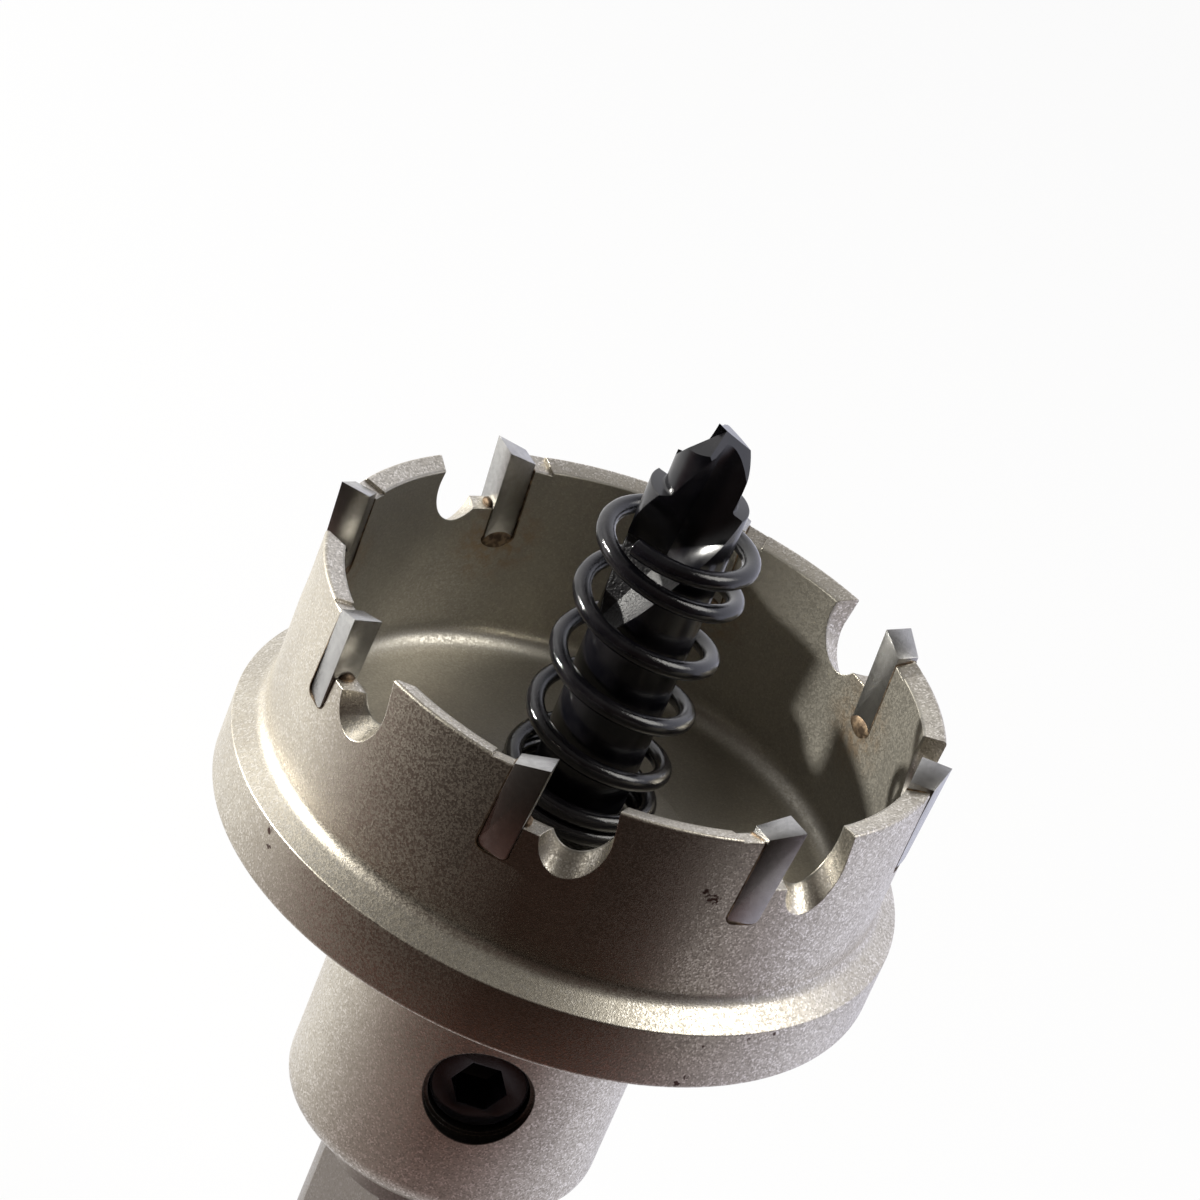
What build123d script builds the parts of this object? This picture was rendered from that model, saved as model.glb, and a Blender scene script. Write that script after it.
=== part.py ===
from build123d import *
from build123d.topology import SkipClean
import os
from math import cos, pi, radians, sin, tan

# A carbide-tipped hole saw with its pilot drill, ejector spring and grub screw.
# The tool stands on the end of its shank: Z runs up the axis to the drill's point, and
# heights are worked out from the end of the shank. Sizes are in millimetres, angles in
# degrees. Azimuths turn anticlockwise from X, seen from above.

# Shank
shank_diameter = 16.0
shank_length = 32.0
shank_chamfer = 1.2
flat_count = 3
flat_depth = 0.95
flat_azimuth = 230.0
flat_neck = 4.0

# Hub
hub_diameter = 26.6
hub_length = 27.25
hub_edge_radius = 2.3

# Flange and shoulder
flange_reach = 2.2
flange_height = 5.3
flange_edge_radius = 0.4
shoulder_angle = 33.0
shoulder_radius = 1.6

# Cup
cup_diameter = 51.0
cup_depth = 17.6
wall_thickness = 1.83
floor_thickness = 4.25
floor_radius = 2.2
rim_slope = 16.5
rim_edge_radius = 0.25

# Raised seat under the spring, and the bore that holds the drill
seat_diameter = 21.2
seat_rise = 0.6
seat_edge = 0.3
bore_depth = 29.0
bore_point_angle = 118.0

# Carbide tips
tip_count = 8
tip_azimuth = 130.5
tip_length = 2.65
tip_height = 8.8
tip_rise = 1.18
tip_reach = 0.5
tip_inner_reach = 0.13
tip_lean = 4.0
tip_relief = 18.8
tip_cross_slope = 4.0
tip_side_relief = 10.5
tip_side_taper = 1.5
tip_corner_radius = 0.6
braze_gap = 0.05

# Ground facet in the rim behind each tip
facet_length = 1.8
facet_depth = 0.28

# Gullets
ledge_depth = 4.45
gullet_radius = 2.55
gullet_offset = 3.5
gullet_depth = 3.15
gullet_slope = 40.0
gullet_lean = 10.0

# Pilot drill
drill_diameter = 8.0
drill_clearance = 0.05
drill_reach = 19.05
drill_end_chamfer = 0.6
drill_step_diameter = 5.8
drill_step_length = 5.75
drill_web = 0.9
drill_lip_azimuth = 259.0
drill_point_angle = 136.0
drill_relief = 21.5
drill_gash_angle = 52.4
drill_gash_turn = 13.7
drill_wall_turn = -71.0
flute_lead = 40.0
flute_length = 11.65
flute_heel_azimuth = 102.0
flute_hollow_back = 0.26
flute_hollow_reach = 0.41
flute_runout_angle = 28.0
flute_runout_azimuth = 45.0

# Ejector spring
spring_diameter = 13.0
wire_diameter = 1.5
spring_height = 27.35
spring_end_azimuth = 240.0
spring_top_turns = 0.85
spring_active_turns = 4.0
spring_bottom_turns = 1.9
spring_closed_pitch = 1.56
spring_seat_gap = 0.03
points_per_turn = 10

# Grub screw in the hub
screw_diameter = 8.0
screw_length = 8.0
screw_clearance = 0.05
screw_azimuth = 281.0
screw_drop = 14.8
screw_chamfer = 0.35
screw_hex = 4.0
screw_hex_depth = 4.0
screw_cup_diameter = 5.0
screw_cup_angle = 120.0
screw_mouth_diameter = 8.8
screw_mouth_depth = 1.2
drill_flat_depth = 0.5
drill_flat_length = 12.0

# Heights and radii that follow from the sizes above
shank_radius = shank_diameter / 2
hub_radius = hub_diameter / 2
cup_radius = cup_diameter / 2
flange_radius = cup_radius + flange_reach
bowl_radius = cup_radius - wall_thickness
drill_radius = drill_diameter / 2
neck_z = shank_length - flat_neck
flange_z = shank_length + hub_length
crease_z = flange_z + flange_height
floor_z = flange_z + floor_thickness
seat_z = floor_z + seat_rise
rim_z = floor_z + cup_depth
bore_bottom_z = seat_z - bore_depth
drill_tip_z = rim_z + drill_reach
screw_z = flange_z - screw_drop
far = 2 * flange_radius


def revolved(points, rounded=()):
    """Turn a half section about Z. The points are radius and height, and each rounded
    entry is the number of a point and its radius."""
    section = Plane.XZ * make_face(Polyline(*points, close=True))
    for number, radius in rounded:
        corner = Vector(points[number][0], 0, points[number][1])
        section = fillet(section.vertices().sort_by_distance(corner)[0], radius)
    return revolve(section, Axis.Z)


def at_azimuth(shape, azimuth):
    return Rot(0, 0, azimuth) * shape


def blank():
    """The bar from the shank's round neck up, before the cup and the bore are cut."""
    shoulder_z = crease_z + flange_reach * tan(radians(shoulder_angle))
    points = [
        (0, neck_z),
        (shank_radius, neck_z),
        (shank_radius, shank_length),
        (hub_radius, shank_length),
        (hub_radius, flange_z),
        (flange_radius, flange_z),
        (flange_radius, crease_z),
        (cup_radius, shoulder_z),
        (cup_radius, rim_z),
        (0, rim_z),
    ]
    rounded = [(3, hub_edge_radius), (5, flange_edge_radius), (7, shoulder_radius)]
    return revolved(points, rounded)


def bowl():
    """What the cup is emptied by, up to a rim that slopes down inwards."""
    drop = wall_thickness * tan(radians(rim_slope))
    above = rim_z + far * tan(radians(rim_slope))
    points = [
        (0, floor_z),
        (bowl_radius, floor_z),
        (bowl_radius, rim_z - drop),
        (cup_radius, rim_z),
        (cup_radius + far, above),
        (0, above),
    ]
    return revolved(points, [(1, floor_radius)])


def spring_seat():
    seat_radius = seat_diameter / 2
    points = [
        (0, floor_z - seat_rise),
        (seat_radius, floor_z - seat_rise),
        (seat_radius, floor_z),
        (seat_radius - seat_edge, seat_z),
        (0, seat_z),
    ]
    return revolved(points)


def drill_bore():
    radius = drill_radius + drill_clearance
    point = radius / tan(radians(bore_point_angle / 2))
    points = [
        (0, bore_bottom_z - point),
        (radius, bore_bottom_z),
        (radius, rim_z),
        (0, rim_z),
    ]
    return revolved(points)


def flatted_shank():
    """The shank from its end to the round neck under the hub, with its three flats."""
    points = [
        (0, 0),
        (shank_radius - shank_chamfer, 0),
        (shank_radius, shank_chamfer),
        (shank_radius, neck_z),
        (0, neck_z),
    ]
    grow = (Align.MIN, Align.CENTER, Align.MIN)
    slab = Box(shank_radius, shank_diameter, neck_z, align=grow)
    cutter = Pos(shank_radius - flat_depth, 0, 0) * slab
    turn = 360 / flat_count
    flats = [at_azimuth(cutter, flat_azimuth + turn * i) for i in range(flat_count)]
    return revolved(points) - flats


def screw_hole():
    """The grub screw's hole with its opened mouth, cut in from the hub's side."""
    axis = Plane(origin=(0, 0, screw_z), z_dir=(1, 0, 0))
    grow = (Align.CENTER, Align.CENTER, Align.MIN)
    hole = Cylinder(screw_diameter / 2 + screw_clearance, hub_diameter, align=grow)
    mouth = Pos(0, 0, hub_radius - screw_mouth_depth) * Cylinder(
        screw_mouth_diameter / 2, hub_radius, align=grow
    )
    return at_azimuth(axis * (hole + mouth), screw_azimuth)


def lean_at(depth):
    """How far back a tip's cutting face lies at a depth below its cutting edge."""
    return -depth * tan(radians(tip_lean))


def tip_side_view(gap):
    """Outline of a tip across the wall: its cutting face looks along Y, and the gap is
    left in front, behind and below. It runs past the tip's top."""
    top = rim_z + tip_rise + tip_height
    bottom = rim_z + tip_rise - tip_height - gap
    front_top = lean_at(rim_z + tip_rise - top) + gap
    front_bottom = lean_at(rim_z + tip_rise - bottom) + gap
    width = tip_length + 2 * gap
    points = [
        (front_top, top),
        (front_bottom, bottom),
        (front_bottom - width, bottom),
        (front_top - width, top),
    ]
    face = make_face(Polyline(*points, close=True))
    corners = face.vertices().sort_by(Axis.Y)[:2]
    return Plane.YZ * fillet(corners, tip_corner_radius + gap)


def carbide_tip():
    """One tip at azimuth 0, ground to its top, outer and inner relief."""
    outer = cup_radius + tip_reach
    inner = bowl_radius - tip_inner_reach
    bar = Pos(inner, 0, 0) * extrude(tip_side_view(0), outer - inner)
    back = tan(radians(tip_relief))
    across = tan(radians(tip_cross_slope))
    side = tan(radians(tip_side_relief))
    taper = tan(radians(tip_side_taper))
    edge = (outer, 0, rim_z + tip_rise)
    top_plane = Plane(origin=edge, z_dir=(-across, -back, 1))
    outer_plane = Plane(origin=edge, z_dir=(1, -side, -taper))
    bar = split(bar, bisect_by=top_plane, keep=Keep.BOTTOM)
    return split(bar, bisect_by=outer_plane, keep=Keep.BOTTOM)


def tooth_cutters():
    """Everything cut out of the wall for one tooth at azimuth 0."""
    reach = 2 * wall_thickness
    wall_middle = (cup_radius + bowl_radius) / 2
    start = Pos(wall_middle - reach, 0, 0)

    seat = start * extrude(tip_side_view(braze_gap), 2 * reach)

    ledge_z = rim_z - ledge_depth
    face = lean_at(tip_rise + ledge_depth)
    near = gullet_offset - gullet_radius + braze_gap
    notch_points = [
        (face, ledge_z),
        (near + gullet_radius / 4, ledge_z),
        (gullet_offset, rim_z),
        (gullet_offset, rim_z + tip_height),
        (lean_at(-tip_height), rim_z + tip_height),
        (lean_at(tip_rise), rim_z),
    ]
    notch_face = Plane.YZ * make_face(Polyline(*notch_points, close=True))
    notch = start * extrude(notch_face, 2 * reach)

    down = radians(gullet_slope)
    lean = radians(gullet_lean)
    centre = (wall_middle, gullet_offset, rim_z - gullet_depth)
    across = Plane(origin=centre, x_dir=(0, 1, 0), z_dir=(cos(down), 0, -sin(down)))
    rise = 2 * gullet_depth
    touch = (gullet_radius * cos(lean), gullet_radius * sin(lean))
    mouth_points = [
        (-gullet_radius, 0),
        touch,
        (touch[0] - rise * sin(lean), touch[1] + rise * cos(lean)),
        (-gullet_radius, touch[1] + rise * cos(lean)),
    ]
    mouth = make_face(Polyline(*mouth_points, close=True))
    gullet_face = across * (mouth + Circle(gullet_radius))
    gullet = extrude(gullet_face, 2 * reach, both=True)

    behind = lean_at(tip_rise) - tip_length
    facet_points = [
        (behind - facet_length, rim_z - facet_depth),
        (behind, rim_z),
        (behind, rim_z + tip_rise),
        (behind - facet_length, rim_z + tip_rise),
    ]
    slope = radians(rim_slope)
    facet_face = Plane.YZ * make_face(Polyline(*facet_points, close=True))
    rim_direction = (cos(slope), 0, sin(slope))
    facet = Pos(cup_radius, 0, 0) * extrude(facet_face, reach, dir=rim_direction, both=True)
    return [seat, notch, gullet, facet]


def cutter_body():
    """Shank, hub, flange and cup, turned and milled from one bar."""
    cup = blank() - bowl()
    rim = cup.edges().group_by(Axis.Z)[-1]
    body = fillet(rim, rim_edge_radius) + spring_seat() - drill_bore() - screw_hole()
    cutters = []
    for cutter in tooth_cutters():
        cutters += [at_azimuth(cutter, azimuth) for azimuth in tip_azimuths()]
    body = body - cutters
    # Joined without a clean, so that the neck stays a round face of its own
    with SkipClean():
        return body + flatted_shank()


def tip_azimuths():
    return [tip_azimuth + 360 / tip_count * i for i in range(tip_count)]


def flute():
    """One flute, wound up from its run-out past the drill's point. Its straight side, along
    X at the height of a lip's outer corner, is the rake face under that lip."""
    half_web = drill_web / 2
    heel = radians(flute_heel_azimuth)
    reach = drill_diameter
    heel_point = (reach * cos(heel), reach * sin(heel))
    hollow = (-flute_hollow_back * drill_radius, flute_hollow_reach * drill_radius)
    outline = [
        Line((reach, half_web), (half_web, half_web)),
        ThreePointArc((half_web, half_web), hollow, heel_point),
        Line(heel_point, (reach, reach)),
        Line((reach, reach), (reach, half_web)),
    ]
    lip_drop = drill_step_diameter / 2 / tan(radians(drill_point_angle / 2))
    turn_below = 360 * (flute_length - lip_drop) / flute_lead
    base_z = drill_tip_z - flute_length
    section = Pos(0, 0, base_z) * Rot(0, 0, -turn_below) * make_face(outline)
    rise = flute_length + drill_web
    wound = Solid.extrude_linear_with_rotation(
        section.face(),
        center=(0, 0, base_z),
        normal=(0, 0, rise),
        angle=360 * rise / flute_lead,
    )
    out = radians(flute_runout_angle)
    middle = radians(flute_runout_azimuth - turn_below)
    away = (cos(middle) * sin(out), sin(middle) * sin(out), -cos(out))
    return [wound, extrude(section, drill_diameter, dir=away)]


def point_cutters():
    """The ground flank over one lip and the gash behind it, for a lip along X."""
    size = 2 * drill_diameter
    lip_slope = 1 / tan(radians(drill_point_angle / 2))
    relief = tan(radians(drill_relief))
    steep = tan(radians(drill_gash_angle))
    skew = steep * tan(radians(drill_gash_turn))
    tip = (0, 0, drill_tip_z)
    flank_plane = Plane(origin=tip, x_dir=(1, 0, -lip_slope), z_dir=(lip_slope, -relief, 1))
    gash_plane = Plane(origin=tip, x_dir=(1, 0, skew), z_dir=(-skew, -steep, 1))
    above = Box(size, size, size, align=(Align.CENTER, Align.CENTER, Align.MIN))
    return [flank_plane * above, gash_plane * above]


def wall_side():
    """The side of the gash's upright wall that the first lip lies on."""
    size = 4 * drill_diameter
    side = Box(size, size, size, align=(Align.CENTER, Align.MIN, Align.CENTER))
    return Pos(0, 0, drill_tip_z) * Rot(0, 0, drill_wall_turn) * side


def pilot_drill():
    """A stepped twist drill with two right-hand flutes. The gash behind its first lip stops
    at a wall, and the gash behind its second lip runs through to the first."""
    step_radius = drill_step_diameter / 2
    step_z = drill_tip_z - drill_step_length
    top_z = drill_tip_z + drill_web
    points = [
        (0, bore_bottom_z),
        (drill_radius - drill_end_chamfer, bore_bottom_z),
        (drill_radius, bore_bottom_z + drill_end_chamfer),
        (drill_radius, step_z),
        (step_radius, step_z),
        (step_radius, top_z),
        (0, top_z),
    ]
    side = wall_side()
    first = [cutter & side for cutter in point_cutters()] + flute()
    second = point_cutters() + flute()
    drill = revolved(points)
    for cutters, azimuth in ((first, drill_lip_azimuth), (second, drill_lip_azimuth + 180)):
        for cutter in cutters:
            drill = drill - at_azimuth(cutter, azimuth)
    ahead = (Align.MIN, Align.CENTER, Align.CENTER)
    slab = Box(drill_radius, drill_diameter, drill_flat_length, align=ahead)
    flat = Pos(drill_radius - drill_flat_depth, 0, screw_z) * slab
    return drill - at_azimuth(flat, screw_azimuth)


def coil_drop(turn):
    """How far the wire has come down after so many turns from its top end."""
    bottom_z = seat_z + wire_diameter / 2 + spring_seat_gap
    top_z = seat_z + spring_height - wire_diameter / 2
    closed = spring_top_turns + spring_bottom_turns
    active_pitch = (top_z - bottom_z - closed * spring_closed_pitch) / spring_active_turns
    top = min(turn, spring_top_turns)
    active = min(max(turn - spring_top_turns, 0), spring_active_turns)
    bottom = max(turn - spring_top_turns - spring_active_turns, 0)
    return (top + bottom) * spring_closed_pitch + active * active_pitch


def ejector_spring():
    """A left-hand coil spring, closed at both ends."""
    coil_radius = (spring_diameter - wire_diameter) / 2
    top_z = seat_z + spring_height - wire_diameter / 2
    turns = spring_top_turns + spring_active_turns + spring_bottom_turns
    steps = round(turns * points_per_turn)
    blend = 1 / points_per_turn
    points = []
    for i in range(steps + 1):
        turn = turns * i / steps
        before = coil_drop(max(turn - blend, 0))
        after = coil_drop(min(turn + blend, turns))
        near_end = turn < blend or turn > turns - blend
        drop = coil_drop(turn) if near_end else (before + after + coil_drop(turn)) / 3
        angle = radians(spring_end_azimuth) + 2 * pi * turn
        points.append((coil_radius * cos(angle), coil_radius * sin(angle), top_z - drop))
    path = Spline(*points)
    section = Plane(origin=path @ 0, z_dir=path % 0) * Circle(wire_diameter / 2)
    return sweep(section, path=path, is_frenet=True)


def set_screw():
    """A hexagon socket grub screw with a cup point that bears on the drill's flat."""
    radius = screw_diameter / 2
    inner = drill_radius - drill_flat_depth
    dish_radius = screw_cup_diameter / 2
    dish_depth = dish_radius / tan(radians(screw_cup_angle / 2))
    points = [
        (0, dish_depth),
        (dish_radius, 0),
        (radius - screw_chamfer, 0),
        (radius, screw_chamfer),
        (radius, screw_length - screw_chamfer),
        (radius - screw_chamfer, screw_length),
        (0, screw_length),
    ]
    hexagon = RegularPolygon(screw_hex / 2, 6, major_radius=False)
    socket = Pos(0, 0, screw_length - screw_hex_depth) * extrude(hexagon, screw_hex_depth)
    screw = revolved(points) - socket
    axis = Plane(origin=(inner, 0, screw_z), z_dir=(1, 0, 0))
    return at_azimuth(axis * screw, screw_azimuth)


def write(shape, node):
    export_step(shape, f"parts/{node}.step")


os.makedirs("parts", exist_ok=True)
write(cutter_body(), "cutter_body")
for number, azimuth in enumerate(tip_azimuths(), start=1):
    write(at_azimuth(carbide_tip(), azimuth), f"carbide_tip_{number}")
write(pilot_drill(), "pilot_drill")
write(ejector_spring(), "ejector_spring")
write(set_screw(), "set_screw")
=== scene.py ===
import math

import bpy
from mathutils import Matrix, Vector


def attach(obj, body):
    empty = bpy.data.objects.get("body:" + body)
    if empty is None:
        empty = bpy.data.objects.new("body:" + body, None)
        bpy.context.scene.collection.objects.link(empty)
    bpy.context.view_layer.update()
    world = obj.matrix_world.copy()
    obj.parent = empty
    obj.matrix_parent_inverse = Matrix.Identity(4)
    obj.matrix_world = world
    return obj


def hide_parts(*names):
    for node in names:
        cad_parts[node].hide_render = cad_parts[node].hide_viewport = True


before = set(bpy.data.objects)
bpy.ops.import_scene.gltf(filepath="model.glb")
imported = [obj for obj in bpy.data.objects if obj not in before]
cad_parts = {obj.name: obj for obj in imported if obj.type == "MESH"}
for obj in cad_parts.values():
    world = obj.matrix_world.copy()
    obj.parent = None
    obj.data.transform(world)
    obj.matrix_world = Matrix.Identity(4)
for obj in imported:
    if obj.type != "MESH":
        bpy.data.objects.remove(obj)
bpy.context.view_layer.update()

# Sizes of the tool in millimetres, from the end of the shank up
MM = 0.001
SHANK_RADIUS = 8.0
SHANK_LENGTH = 32.0
SHANK_CHAMFER = 1.2
SHANK_CHAMFER_EDGE = 0.3
FLAT_DEPTH = 0.95
FLAT_AZIMUTHS = (230.0, 350.0, 110.0)
FLAT_NECK = 4.0
HUB_RADIUS = 13.3
HUB_EDGE = 2.3
FLANGE_Z = 59.25
FLANGE_RADIUS = 27.7
FLANGE_EDGE = 0.4
FLANGE_HEIGHT = 5.3
CREASE_Z = FLANGE_Z + FLANGE_HEIGHT
CREASE_EDGE = 0.15
CUP_RADIUS = 25.5
SHOULDER_ANGLE = 33.0
SHOULDER_FILLET = 1.6
FLOOR_THICKNESS = 4.25
FLOOR_Z = FLANGE_Z + FLOOR_THICKNESS
FLOOR_FILLET = 2.2
WALL = 1.83
BOWL_RADIUS = CUP_RADIUS - WALL
CUP_DEPTH = 17.6
RIM_Z = FLOOR_Z + CUP_DEPTH
RIM_SLOPE = 16.5
RIM_EDGE = 0.25
RIM_INNER_EDGE = 0.12
SEAT_RADIUS = 10.6
SEAT_RISE = 0.6
SEAT_Z = FLOOR_Z + SEAT_RISE
SEAT_EDGE = 0.3
BORE_RADIUS = 4.05
BORE_DEPTH = 29.0
BORE_CONE = 31.0

TIP_AZIMUTHS = [130.5 + 45 * i for i in range(8)]
TIP_LENGTH = 2.65
TIP_HEIGHT = 8.8
TIP_RISE = 1.18
TIP_PAST_OUTSIDE = 0.5
TIP_PAST_INSIDE = 0.13
TIP_OUTER = CUP_RADIUS + TIP_PAST_OUTSIDE
TIP_INNER = BOWL_RADIUS - TIP_PAST_INSIDE
TIP_LEAN = 4.0
TIP_RELIEF = 18.8
TIP_CROSS_SLOPE = 4.0
TIP_SIDE_RELIEF = 10.5
TIP_SIDE_TAPER = 1.5
TIP_CORNER = 0.6
TIP_EDGE = 0.035
BRAZE_GAP = 0.05
BRAZE_SHOW = 0.12
BRAZE_SKIN = 0.03
BRAZE_TOP_DROP = 0.15
BRAZE_INNER_DROP = 0.5
FOOT_RISE = 0.25
FOOT_BEAD = (0.24, 1.55, 0.9)
LEDGE_BEAD = (0.66, 0.32, 0.42)
LEDGE_BEAD_SHIFT = (-0.1, 0.1, 0.05)
FACET_LENGTH = 1.8
FACET_DEPTH = 0.14
LEDGE_DEPTH = 4.45
GULLET_RADIUS = 2.55
GULLET_OFFSET = 3.5
GULLET_DEPTH = 3.15
GULLET_SLOPE = 40.0
GULLET_LEAN = 10.0

DRILL_RADIUS = 4.0
DRILL_RISE = 19.05
DRILL_TIP_Z = RIM_Z + DRILL_RISE
DRILL_STEP_RADIUS = 2.9
DRILL_STEP_LENGTH = 5.75
DRILL_STEP_EDGE = 0.12
DRILL_STEP_FILLET = 0.25
DRILL_END_CHAMFER = 0.6
DRILL_WEB = 0.9
DRILL_LIP_AZIMUTH = 259.0
DRILL_POINT_ANGLE = 136.0
DRILL_RELIEF = 21.5
DRILL_GASH_ANGLE = 52.4
DRILL_GASH_TURN = 13.7
DRILL_WALL_TURN = -71.0
FLUTE_LEAD = 40.0
FLUTE_LENGTH = 11.65
FLUTE_PAST_POINT = 1.0
FLUTE_RUNOUT = 28.0
FLUTE_HEEL = 102.0
FLUTE_HOLLOW = (-0.26, 0.41)
LIP_DROP = DRILL_STEP_RADIUS / math.tan(math.radians(DRILL_POINT_ANGLE / 2))
FLUTE_TURN = 360 * (FLUTE_LENGTH - LIP_DROP) / FLUTE_LEAD

COIL_RADIUS = 5.75
WIRE_RADIUS = 0.75
SPRING_HEIGHT = 27.35
SPRING_LIFT = 0.03
SPRING_TOP_Z = SEAT_Z + SPRING_HEIGHT - WIRE_RADIUS
SPRING_BOTTOM_Z = SEAT_Z + SPRING_LIFT + WIRE_RADIUS
SPRING_END_AZIMUTH = 240.0
SPRING_TURNS = (0.85, 4.0, 1.9)
SPRING_CLOSED_PITCH = 1.56
SPRING_BLEND = 1 / 12
WIRE_END_EDGE = 0.08

SCREW_AZIMUTH = 281.0
SCREW_DROP = 14.8
SCREW_Z = FLANGE_Z - SCREW_DROP
SCREW_RADIUS = 4.0
SCREW_HOLE = 4.05
SCREW_LENGTH = 8.0
SCREW_INNER = 3.5
SCREW_CHAMFER = 0.35
SCREW_HEX = 4.0
SCREW_HEX_DEPTH = 4.0
SCREW_HEX_EDGE = 0.06
MOUTH_RADIUS = 4.4
MOUTH_DEPTH = 1.2

# Steps round a turn, along a flute and along the arcs of a flute and a gullet
ROUND_STEPS = 360
DRILL_STEPS = 144
COIL_STEPS = 48
FLUTE_STEPS = 48
FLUTE_ARC_STEPS = 14
GULLET_ARC_STEPS = 40

# How far some cutters reach past what they cut
OVERSHOOT = 1.0

# Places of the rust marks, and how far each reaches
RUST_SPECKS = (
    ((-19.9, -19.3, 64.0), 0.9),
    ((-19.5, -19.7, 62.9), 0.8),
    ((15.6, -22.9, 59.9), 0.8),
    ((16.0, -22.6, 60.5), 0.7),
    ((16.2, -22.5, 63.5), 0.5),
    ((19.2, -19.9, 64.0), 0.5),
    ((21.0, -18.1, 64.1), 0.6),
    ((12.5, -22.2, 75.5), 1.4),
    ((11.8, -22.6, 76.0), 1.2),
)


# Modelling helpers
def deselect():
    """Leave edit mode with nothing selected."""
    if bpy.context.mode != "OBJECT":
        bpy.ops.object.mode_set(mode="OBJECT")
    bpy.ops.object.select_all(action="DESELECT")


def pick(piece):
    """Select one piece only and make it the active one."""
    deselect()
    piece.select_set(True)
    bpy.context.view_layer.objects.active = piece


def draw_line(name, points, closed=False):
    """A line of edges through points in millimetres, drawn vertex by vertex."""
    deselect()
    places = [Vector(p) * MM for p in points]
    bpy.ops.mesh.primitive_plane_add(size=1)
    piece = bpy.context.object
    piece.name = name
    bpy.ops.object.mode_set(mode="EDIT")
    bpy.ops.mesh.select_mode(type="VERT")
    bpy.ops.mesh.select_all(action="SELECT")
    bpy.ops.mesh.merge(type="CENTER")
    bpy.ops.transform.translate(value=places[0])
    for start, end in zip(places, places[1:]):
        bpy.ops.mesh.extrude_region_move(TRANSFORM_OT_translate={"value": end - start})
    bpy.ops.mesh.select_all(action="SELECT")
    if closed:
        bpy.ops.mesh.edge_face_add()
    return piece


def turned(name, section, steps=ROUND_STEPS):
    """A half section of radius and height, spun round Z."""
    piece = draw_line(name, [(r, 0, z) for r, z in section])
    bpy.ops.mesh.spin(steps=steps, angle=2 * math.pi, center=(0, 0, 0), axis=(0, 0, 1))
    finish_shell()
    return piece


def prism(name, outline, along):
    """A flat outline pushed along a vector, both in millimetres."""
    piece = draw_line(name, outline, closed=True)
    bpy.ops.mesh.extrude_region_move(TRANSFORM_OT_translate={"value": Vector(along) * MM})
    finish_shell()
    return piece


def finish_shell():
    """Weld the mesh in hand, turn its faces outwards and leave edit mode."""
    bpy.ops.mesh.select_all(action="SELECT")
    bpy.ops.mesh.remove_doubles(threshold=0.0005 * MM)
    bpy.ops.mesh.normals_make_consistent(inside=False)
    bpy.ops.object.mode_set(mode="OBJECT")


def rounded(points, radii, steps=8):
    """The points of a line with an arc at each corner that has a radius."""
    line = []
    for i, point in enumerate(points):
        radius = radii.get(i, 0)
        if not radius:
            line.append(point)
            continue
        corner = Vector(point)
        back = (Vector(points[i - 1]) - corner).normalized()
        ahead = (Vector(points[(i + 1) % len(points)]) - corner).normalized()
        half = back.angle(ahead) / 2
        centre = corner + (back + ahead).normalized() * radius / math.sin(half)
        first = corner + back * radius / math.tan(half) - centre
        last = corner + ahead * radius / math.tan(half) - centre
        for step in range(steps + 1):
            spoke = first.slerp(last, step / steps).normalized()
            line.append(tuple(centre + spoke * radius))
    return line


def turn_about_z(piece, degrees):
    """Turn a piece's mesh about the tool's axis."""
    piece.data.transform(Matrix.Rotation(math.radians(degrees), 4, "Z"))


def copies_round(piece, azimuths):
    """Copies of a piece at the azimuths, as one object. The first takes its place."""
    made = []
    for azimuth in azimuths:
        copy = piece.copy()
        copy.data = piece.data.copy()
        bpy.context.scene.collection.objects.link(copy)
        turn_about_z(copy, azimuth)
        made.append(copy)
    bpy.data.objects.remove(piece)
    deselect()
    for copy in made:
        copy.select_set(True)
    bpy.context.view_layer.objects.active = made[0]
    if len(made) > 1:
        bpy.ops.object.join()
    return bpy.context.object


def cut(piece, cutter, operation="DIFFERENCE"):
    """Cut one piece with another, which is used up."""
    pick(piece)
    boolean = piece.modifiers.new("cut", "BOOLEAN")
    boolean.operation = operation
    boolean.solver = "EXACT"
    boolean.object = cutter
    bpy.ops.object.modifier_apply(modifier="cut")
    bpy.data.objects.remove(cutter)


def slice_off(piece, place, normal):
    """Cut away what lies on the normal's side of a plane and close the cut."""
    pick(piece)
    bpy.ops.object.mode_set(mode="EDIT")
    bpy.ops.mesh.select_all(action="SELECT")
    bpy.ops.mesh.bisect(
        plane_co=Vector(place) * MM, plane_no=normal, use_fill=True, clear_outer=True
    )
    bpy.ops.object.mode_set(mode="OBJECT")


def soften(piece, width, angle=30.0, segments=2):
    """Bevel the edges that are sharper than an angle in degrees."""
    pick(piece)
    bevel = piece.modifiers.new("edges", "BEVEL")
    bevel.width = width * MM
    bevel.segments = segments
    bevel.limit_method = "ANGLE"
    bevel.angle_limit = math.radians(angle)
    bpy.ops.object.modifier_apply(modifier="edges")


def smooth(piece, angle=30.0):
    """Shade smooth, but keep edges sharper than this angle."""
    pick(piece)
    bpy.ops.object.shade_smooth_by_angle(angle=math.radians(angle))


def wire(name, places, radius):
    """A round wire of this radius along places in millimetres."""
    line = draw_line(name, places)
    bpy.ops.object.mode_set(mode="OBJECT")
    bpy.ops.object.convert(target="CURVE")
    line = bpy.context.object
    line.data.bevel_depth = radius * MM
    line.data.bevel_resolution = 8
    line.data.use_fill_caps = True
    bpy.ops.object.convert(target="MESH")
    line = bpy.context.object
    pick(line)
    bpy.ops.object.mode_set(mode="EDIT")
    finish_shell()
    smooth(line, 40.0)
    return line


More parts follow.
